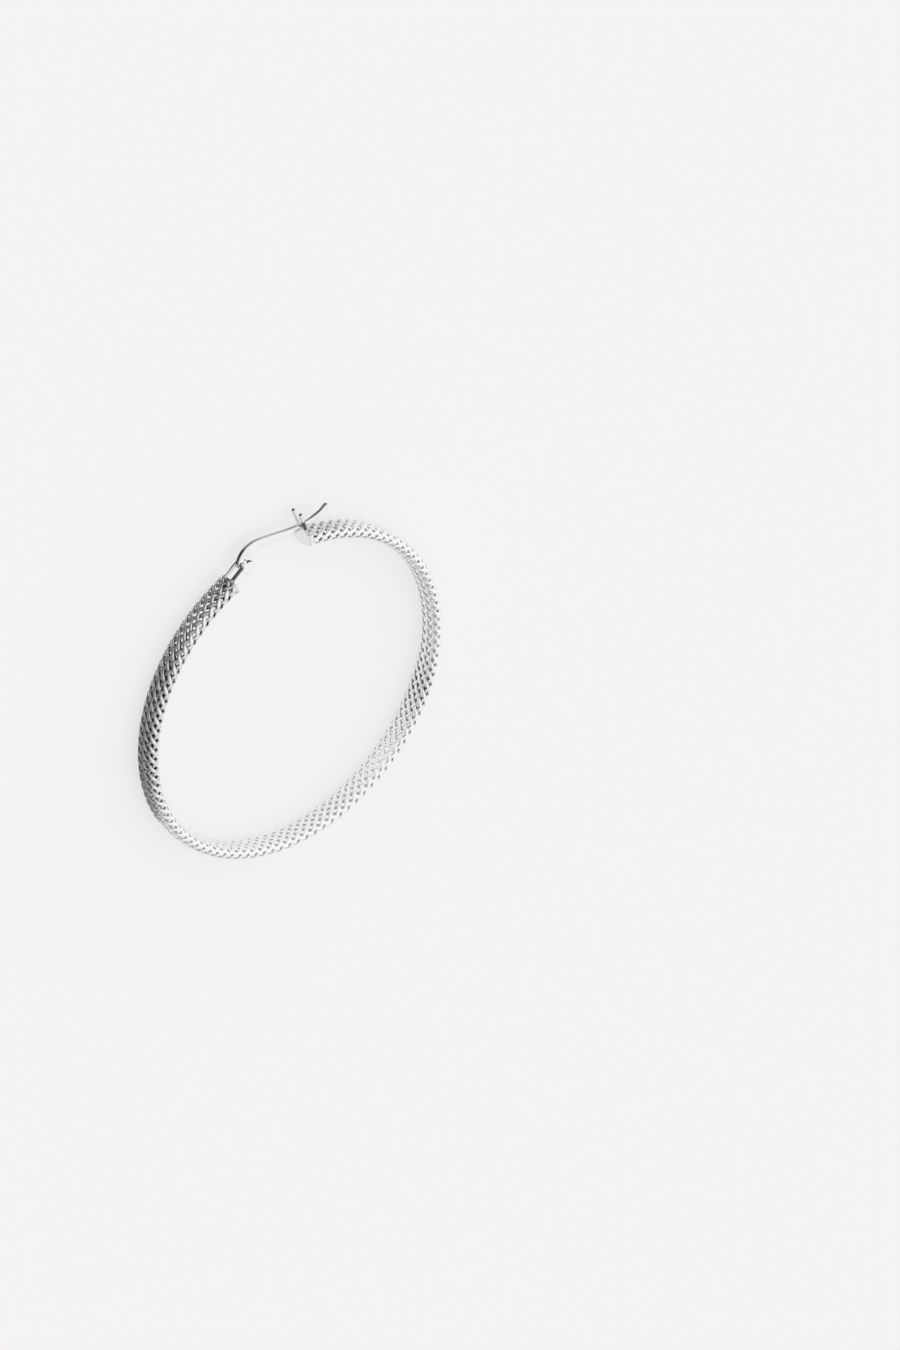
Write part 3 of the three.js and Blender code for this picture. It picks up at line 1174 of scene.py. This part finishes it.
@dataclass
class Studio:
    """A pale floor, soft light, and a camera at the photograph's angle to the hoop.

    The camera's angles are in radians, and its aim is across and up the picture from the hoop's middle.
    """

    plan: HoopPlan
    inclination: float = 0.9001
    roll: float = 0.9456
    spin: float = 5.7313
    distance: float = 1.0
    aim: tuple[float, float] = (21.0241 * MM, 1.9898 * MM)
    pixels_per_metre: float = 7541.4
    picture_height: int = 1350
    sensor: float = 36.0
    floor_size: float = 3.0
    side_tones = ((0, 0.16), (1 * MM, 0.16))
    hinge_tones = ((0, 0.02), (1 * MM, 0.02))
    edge_tones = (
        (-4.5 * MM, 0.04), (-3.2 * MM, 0.26), (0, 0.34), (2 * MM, 0.55), (5.5 * MM, 0.48),
        (7 * MM, 0.32), (8.2 * MM, 0.3), (9 * MM, 0.17), (10 * MM, 0.12),
    )
    cards: tuple[StudioCard, ...] = (
        StudioCard("side_card", 25.3 * MM, 70 * MM, 104, 200, side_tones),
        StudioCard("hinge_card", 22.5 * MM, 25.6 * MM, 94, 103, hinge_tones),
        StudioCard("bridge_card", 25.6 * MM, 50 * MM, 76, 104, edge_tones),
        StudioCard("tip_card", 28.2 * MM, 50 * MM, 55, 76, edge_tones),
    )
    bright_side: tuple[float, float, float] = (0.8, 0.1, 0.55)
    sky_stops: tuple[tuple[float, float], ...] = ((0.15, 0.35), (0.5, 0.75), (0.8, 1.0))

    def camera(self) -> bpy.types.Object:
        """Makes the scene's camera."""
        axes = Matrix.Rotation(self.roll, 3, "Z") @ Matrix.Rotation(self.inclination, 3, "X")
        axes = (axes @ Matrix.Rotation(self.spin, 3, "Z")).transposed()
        bpy.ops.object.camera_add()
        camera = bpy.context.object
        place = self.plan.centre + axes @ Vector((*self.aim, self.distance))
        camera.matrix_world = Matrix.Translation(place) @ axes.to_4x4()
        camera.data.sensor_width = self.sensor
        camera.data.lens = self.pixels_per_metre * self.distance * self.sensor / self.picture_height
        bpy.context.scene.camera = camera
        return camera

    def floor(self) -> None:
        """Lays the floor that the earring rests on."""
        bpy.ops.object.select_all(action="DESELECT")
        bpy.ops.mesh.primitive_plane_add(size=self.floor_size)
        floor = bpy.context.object
        floor.name = "floor"
        floor.data.materials.append(PaleFloor().material())

    def sky(self) -> None:
        """Surrounds the scene with soft light, brighter on the catch's side."""
        graph = Graph(bpy.data.worlds.new("studio"))
        heading = graph.add("TexCoord", out="Generated")
        bright_side = Vector(self.bright_side).normalized()
        facing = graph.add("VectorMath", {"operation": "DOT_PRODUCT"}, {0: heading, 1: bright_side}, "Value")
        tone = graph.add("ValToRGB", {"stops": self.sky_stops}, {"Fac": 0.5 + 0.5 * facing})
        bpy.context.scene.world = graph.finish(graph.add("Background", sockets={"Color": tone}))

    def set_up(self) -> None:
        """Makes the camera, the floor, the cards and the sky."""
        self.camera()
        self.floor()
        self.sky()
        for card in self.cards:
            card.lay(self.plan.centre)
        view = bpy.context.scene.view_settings
        view.view_transform = "Standard"
        view.look = "None"


def main() -> None:
    """Builds the earring piece by piece, and the studio round it."""
    logging.basicConfig(level=logging.INFO, format="%(message)s")
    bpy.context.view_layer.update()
    plan = HoopPlan()
    tube = WovenTube(plan)
    hinge = HingeCap(plan, End.HINGE, "hinge_end")
    catch = CatchCap(plan, End.CATCH, "catch_end")
    ear_wire = EarWire(plan, catch)
    knitted = KnittedSilver(plan.centre).material()
    # The polished finishes carry the painted shade of the caps and of the ear wire.
    polished = PolishedSilver(painted_shades=hinge.painted_shades + catch.painted_shades).material()
    bright = PolishedSilver("ear wire silver", roughness=0.12, painted_shades=ear_wire.painted_shades).material()
    tube.dress(tube.build(), knitted, Body.HOOP, Slot.KNITTED, "hoop_tube")
    hinge.dress(hinge.build(), polished, Body.HOOP, Slot.POLISHED, "hinge_cap")
    catch.dress(catch.build(), polished, Body.HOOP, Slot.POLISHED, "catch_cap")
    ear_wire.dress(ear_wire.build(), bright, Body.EAR_WIRE, Slot.EAR_WIRE, "ear_wire")
    Studio(plan).set_up()


if __name__ == "__main__":
    main()
